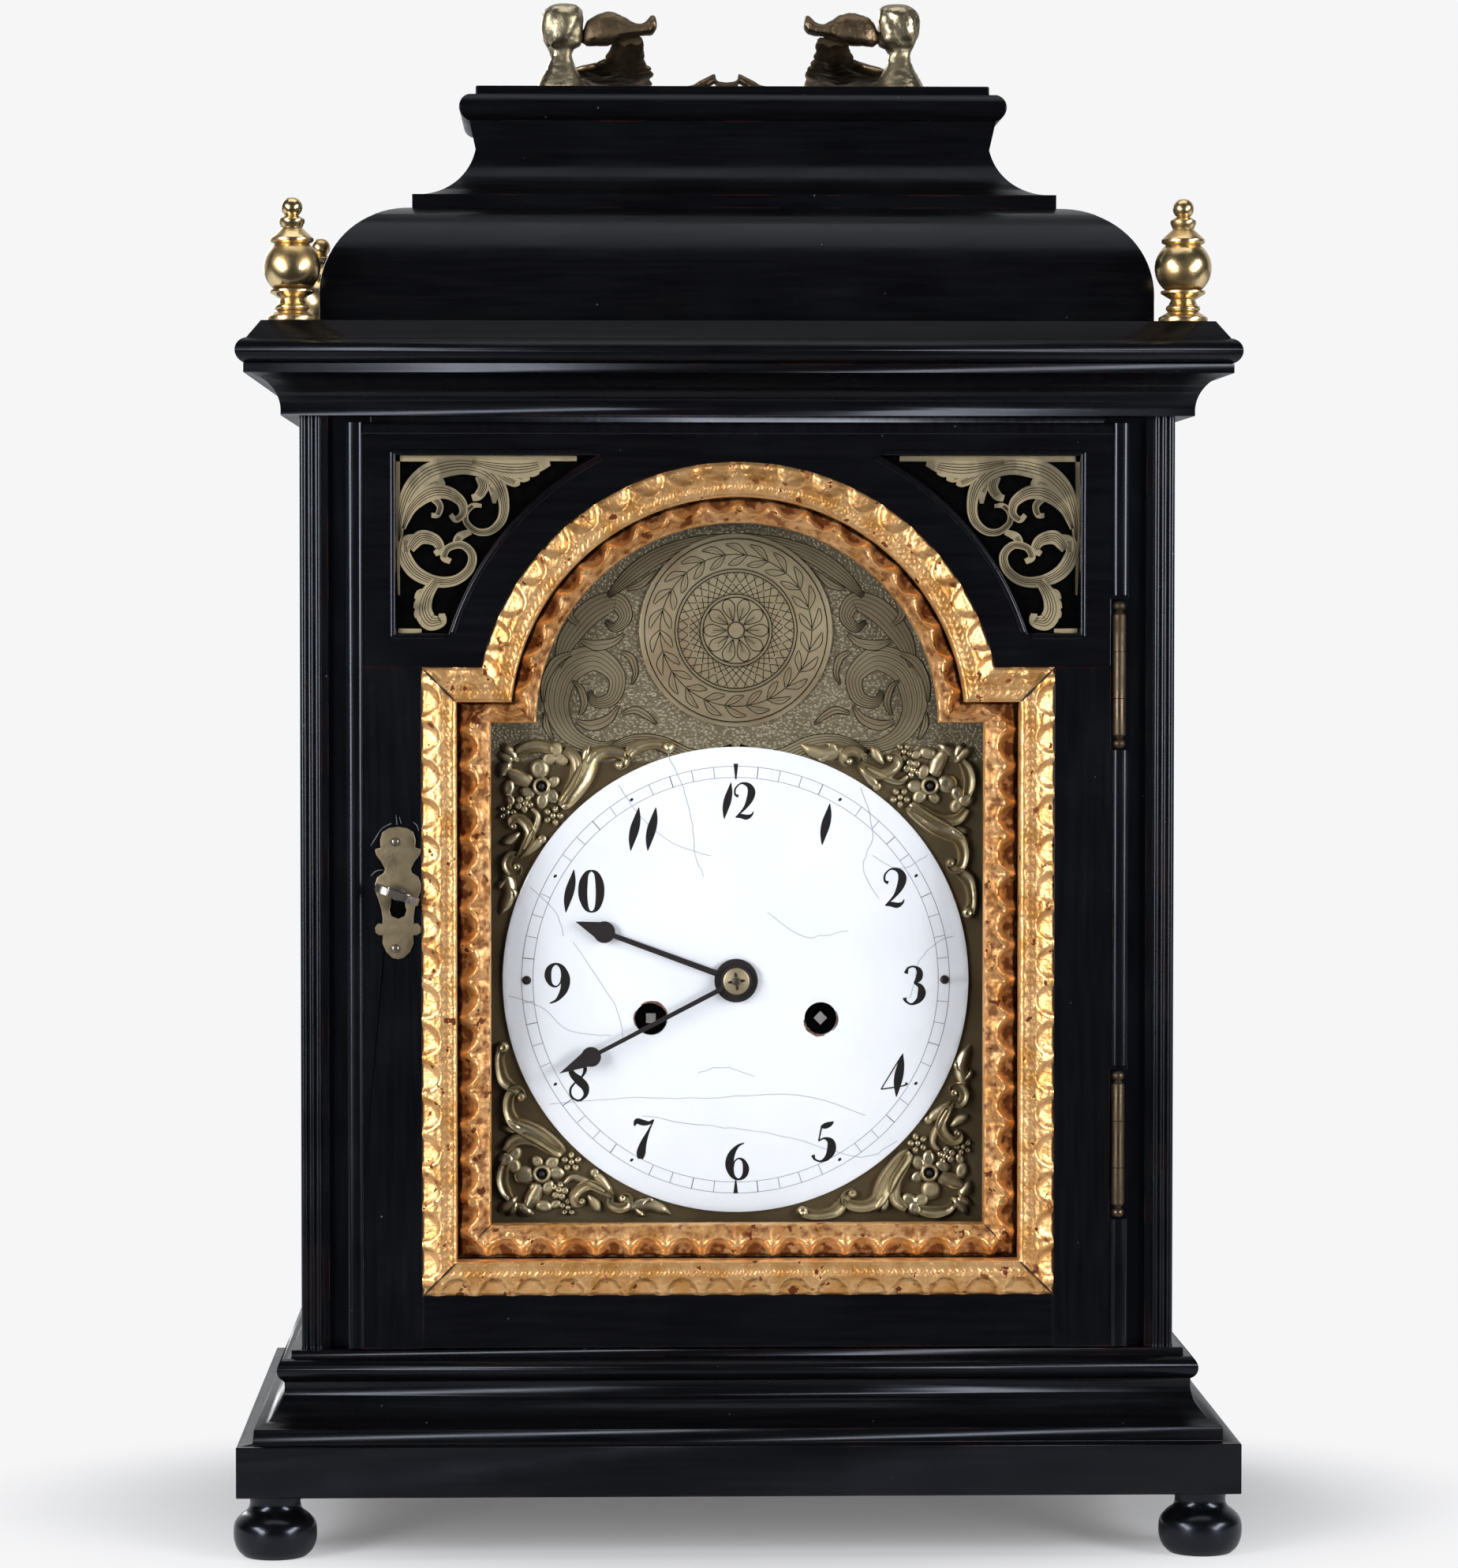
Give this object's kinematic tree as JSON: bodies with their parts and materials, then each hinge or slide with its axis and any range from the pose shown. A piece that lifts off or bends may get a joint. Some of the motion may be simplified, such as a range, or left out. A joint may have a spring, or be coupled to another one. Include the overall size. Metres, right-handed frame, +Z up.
{
  "type": "bracket clock",
  "caption": "Free-standing bell-top bracket clock: ebonised case with arched glazed door, enamel dial in a brass plate, hands, striking movement, pendulum and folding carrying handle.",
  "frame": {"origin": "on the floor under the middle of the clock, level with the soles of the feet", "axes": "+Z up, +X to the right seen from the front, dial and door towards -Y"},
  "size_m": [0.3192, 0.2032, 0.5],
  "materials": {
    "ebonised_wood": "ebonised, satin polish",
    "inner_wood": "plain stained oak",
    "cast_brass": "polished, lightly tarnished",
    "dial_brass": "old lacquered brass",
    "movement_brass": "brushed",
    "bronze": "dark patina",
    "gilt_wood": "gold leaf on carved wood, worn",
    "glass": "clear",
    "enamel": "fired white enamel",
    "blued_steel": "dark blued steel",
    "steel": "bright steel",
    "bell_metal": "bell metal"
  },
  "bodies": {
    "case": {"bun_feet": "ebonised_wood", "base_mouldings": "ebonised_wood", "bottom_board": "inner_wood", "side_panels": "ebonised_wood", "front_frame": "ebonised_wood", "reeded_pilasters": "ebonised_wood", "back_frame": "ebonised_wood", "back_pivots": "steel", "cornice_mouldings": "ebonised_wood", "bell_top_dome": "ebonised_wood", "bell_top_neck": "ebonised_wood", "cap_board": "ebonised_wood", "corner_finials": "cast_brass", "handle_pillars": "cast_brass", "seat_board": "inner_wood", "case_hinge_leaves": "cast_brass", "dial_mask": "ebonised_wood", "dial_plate": "dial_brass", "arch_boss": "dial_brass", "enamel_dial": "enamel", "dial_screws": "steel", "corner_spandrels": "dial_brass", "front_plate": "movement_brass", "back_plate": "movement_brass", "movement_pillars": "movement_brass", "back_cock": "movement_brass", "bell": "bell_metal", "bell_stand": "steel"},
    "front_door": {"door_stiles": "ebonised_wood", "door_top_rail": "ebonised_wood", "door_bottom_rail": "ebonised_wood", "gilt_outer_frame": "gilt_wood", "gilt_inner_frame": "gilt_wood", "door_glass": "glass", "sound_frets": "cast_brass", "escutcheon": "cast_brass", "lock_case": "movement_brass", "door_hinge_leaves": "cast_brass"},
    "lock_bolt": {"lock_bolt": "steel"},
    "door_key": {"door_key": "steel"},
    "carry_handle": {"carry_handle": "bronze"},
    "back_door": {"back_door": "ebonised_wood"},
    "minute": {"minute_hand": "blued_steel", "hand_collet": "dial_brass", "cannon_pinion": "movement_brass"},
    "centre_wheel": {"centre_wheel": "movement_brass"},
    "hour": {"hour_hand": "blued_steel", "hour_wheel": "movement_brass"},
    "minute_wheel": {"minute_wheel": "movement_brass"},
    "going_barrel": {"going_barrel": "movement_brass"},
    "third_wheel": {"third_wheel": "movement_brass"},
    "escape_wheel": {"escape_wheel": "movement_brass"},
    "going_arbor": {"going_arbor": "steel"},
    "strike_arbor": {"strike_arbor": "steel"},
    "strike_barrel": {"strike_barrel": "movement_brass"},
    "pin_wheel": {"pin_wheel": "movement_brass"},
    "hammer": {"hammer": "steel"},
    "anchor": {"anchor": "steel"},
    "pendulum": {"pendulum_rod": "steel", "pendulum_bob": "movement_brass"}
  },
  "joints": [
    {"name": "front_door_swing", "type": "hinge", "parent": "case", "child": "front_door", "pos_m": [0.1205, -0.084, 0.211], "axis": [0, 0, 1], "range_deg": [0, 115]},
    {"name": "key_turn", "type": "hinge", "parent": "front_door", "child": "door_key", "pos_m": [-0.1075, -0.084, 0.209], "axis": [0, 1, 0], "range_deg": [0, 180]},
    {"name": "bolt_throw", "type": "slide", "parent": "front_door", "child": "lock_bolt", "axis": [-1, 0, 0], "range_m": [0, 0.0045]},
    {"name": "carry_handle_swing", "type": "hinge", "parent": "case", "child": "carry_handle", "pos_m": [0, 0, 0.4884], "axis": [1, 0, 0], "range_deg": [0, 226]},
    {"name": "back_door_swing", "type": "hinge", "parent": "case", "child": "back_door", "pos_m": [0.0942, 0.0755, 0.211], "axis": [0, 0, -1], "range_deg": [0, 90]},
    {"name": "minute_hand_turn", "type": "hinge", "parent": "case", "child": "minute", "pos_m": [0, -0.065, 0.1794], "axis": [0, 1, 0], "continuous": true},
    {"name": "hour_hand_turn", "type": "hinge", "parent": "case", "child": "hour", "pos_m": [0, -0.06, 0.1794], "axis": [0, 1, 0], "continuous": true},
    {"name": "minute_wheel_turn", "type": "hinge", "parent": "case", "child": "minute_wheel", "pos_m": [0, -0.046, 0.1974], "axis": [0, 1, 0], "continuous": true},
    {"name": "escape_wheel_turn", "type": "hinge", "parent": "case", "child": "escape_wheel", "pos_m": [0, -0.0145, 0.22443], "axis": [0, 1, 0], "continuous": true},
    {"name": "third_wheel_turn", "type": "hinge", "parent": "case", "child": "third_wheel", "pos_m": [0.013, -0.0145, 0.20192], "axis": [0, 1, 0], "continuous": true},
    {"name": "centre_wheel_turn", "type": "hinge", "parent": "case", "child": "centre_wheel", "pos_m": [0, -0.0145, 0.1794], "axis": [0, 1, 0], "continuous": true},
    {"name": "going_barrel_turn", "type": "hinge", "parent": "case", "child": "going_barrel", "pos_m": [0.0273, -0.0145, 0.167], "axis": [0, 1, 0], "continuous": true},
    {"name": "going_winding", "type": "hinge", "parent": "case", "child": "going_arbor", "pos_m": [0.0273, -0.0145, 0.167], "axis": [0, 1, 0], "continuous": true},
    {"name": "strike_winding", "type": "hinge", "parent": "case", "child": "strike_arbor", "pos_m": [-0.0273, -0.0145, 0.167], "axis": [0, 1, 0], "continuous": true},
    {"name": "pin_wheel_turn", "type": "hinge", "parent": "case", "child": "pin_wheel", "pos_m": [-0.03469, -0.0145, 0.19458], "axis": [0, 1, 0], "continuous": true},
    {"name": "strike_barrel_turn", "type": "hinge", "parent": "case", "child": "strike_barrel", "pos_m": [-0.0273, -0.0145, 0.167], "axis": [0, 1, 0], "continuous": true},
    {"name": "hammer_swing", "type": "hinge", "parent": "case", "child": "hammer", "pos_m": [-0.046, -0.0145, 0.22143], "axis": [0, -1, 0], "range_deg": [0, 12]},
    {"name": "pendulum_swing", "type": "hinge", "parent": "case", "child": "pendulum", "pos_m": [0, 0.0205, 0.24143], "axis": [0, 1, 0], "range_deg": [-4, 4]},
    {"name": "anchor_rock", "type": "hinge", "parent": "case", "child": "anchor", "pos_m": [0, -0.0145, 0.24143], "axis": [0, 1, 0], "range_deg": [-4, 4]}
  ],
  "couplings": [
    {"joint": "key_turn", "follows": "bolt_throw", "rad_per_m": 698.13},
    {"joint": "hour_hand_turn", "follows": "minute_hand_turn", "ratio": 0.083333},
    {"joint": "minute_wheel_turn", "follows": "minute_hand_turn", "ratio": -0.33333},
    {"joint": "third_wheel_turn", "follows": "escape_wheel_turn", "ratio": -0.083333},
    {"joint": "centre_wheel_turn", "follows": "escape_wheel_turn", "ratio": 0.0069444},
    {"joint": "going_barrel_turn", "follows": "escape_wheel_turn", "ratio": -0.0011574},
    {"joint": "strike_barrel_turn", "follows": "pin_wheel_turn", "ratio": -0.11111},
    {"joint": "anchor_rock", "follows": "pendulum_swing", "ratio": 1}
  ]
}
